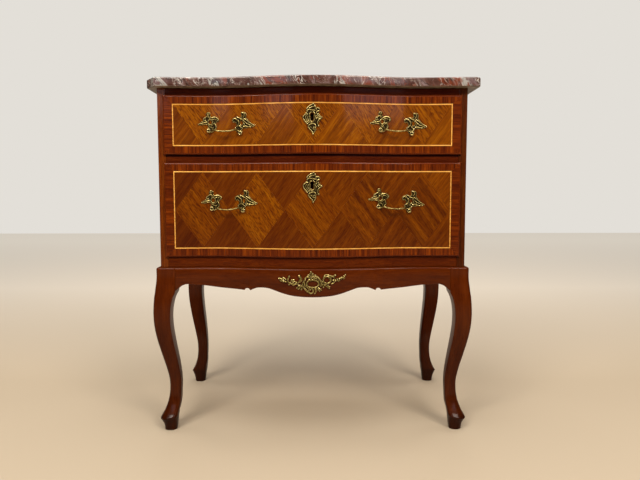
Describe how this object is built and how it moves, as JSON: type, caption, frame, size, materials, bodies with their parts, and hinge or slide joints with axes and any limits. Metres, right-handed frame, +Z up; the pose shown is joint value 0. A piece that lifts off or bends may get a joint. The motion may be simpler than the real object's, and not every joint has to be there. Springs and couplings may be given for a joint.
{
  "type": "commode chest",
  "caption": "Small bow-fronted commode chest with lipped drawers, a marble top and a cabriole-legged stand.",
  "frame": {"origin": "on the floor, under the middle of the chest's overall width and depth", "axes": "+X to the right as seen from the front, -Y out of the drawer fronts, +Z up"},
  "size_m": [0.73, 0.437, 0.7903],
  "materials": {
    "mahogany": "gloss varnish",
    "carcass_wood": "satin varnish",
    "parquetry_veneer": "satin varnish",
    "crossband_veneer": "satin varnish",
    "boxwood": "satin varnish",
    "drawer_lining": "bare wood",
    "marble": "polished",
    "brass": "aged",
    "lock_steel": "dull"
  },
  "bodies": {
    "chest": {"leg_front_left": "mahogany", "leg_front_right": "mahogany", "leg_rear_left": "mahogany", "leg_rear_right": "mahogany", "apron_front": "mahogany", "apron_rear": "mahogany", "apron_side_left": "mahogany", "apron_side_right": "mahogany", "apron_mount": "brass", "front_post_left": "carcass_wood", "front_post_right": "carcass_wood", "side_panel_left": "carcass_wood", "side_panel_right": "carcass_wood", "top_rail": "carcass_wood", "divider_rail": "carcass_wood", "bottom_rail": "carcass_wood", "back_panel": "drawer_lining", "carcass_top": "drawer_lining", "carcass_bottom": "drawer_lining", "lower_runner_left": "drawer_lining", "lower_runner_right": "drawer_lining", "upper_runner_left": "drawer_lining", "upper_runner_right": "drawer_lining", "marble_top": "marble"},
    "lower_drawer": {"lower_front": "carcass_wood", "lower_crossbanding": "crossband_veneer", "lower_stringing": "boxwood", "lower_parquetry": "parquetry_veneer", "lower_side_left": "drawer_lining", "lower_side_right": "drawer_lining", "lower_back": "drawer_lining", "lower_bottom": "drawer_lining", "lower_lock_case": "lock_steel", "lower_escutcheon": "brass", "lower_left_handle_left_plate": "brass", "lower_left_handle_right_plate": "brass", "lower_left_handle_bail": "brass", "lower_right_handle_left_plate": "brass", "lower_right_handle_right_plate": "brass", "lower_right_handle_bail": "brass"},
    "lower_bolt": {"lower_lock_bolt": "brass"},
    "upper_drawer": {"upper_front": "carcass_wood", "upper_crossbanding": "crossband_veneer", "upper_stringing": "boxwood", "upper_parquetry": "parquetry_veneer", "upper_side_left": "drawer_lining", "upper_side_right": "drawer_lining", "upper_back": "drawer_lining", "upper_bottom": "drawer_lining", "upper_lock_case": "lock_steel", "upper_escutcheon": "brass", "upper_left_handle_left_plate": "brass", "upper_left_handle_right_plate": "brass", "upper_left_handle_bail": "brass", "upper_right_handle_left_plate": "brass", "upper_right_handle_right_plate": "brass", "upper_right_handle_bail": "brass"},
    "upper_bolt": {"upper_lock_bolt": "brass"}
  },
  "joints": [
    {"name": "lower_drawer_slide", "type": "slide", "parent": "chest", "child": "lower_drawer", "axis": [0, -1, 0], "range_m": [0, 0.28]},
    {"name": "upper_drawer_slide", "type": "slide", "parent": "chest", "child": "upper_drawer", "axis": [0, -1, 0], "range_m": [0, 0.28]},
    {"name": "lower_lock_throw", "type": "slide", "parent": "lower_drawer", "child": "lower_bolt", "axis": [0, 0, 1], "range_m": [0, 0.008]},
    {"name": "upper_lock_throw", "type": "slide", "parent": "upper_drawer", "child": "upper_bolt", "axis": [0, 0, 1], "range_m": [0, 0.008]}
  ]
}
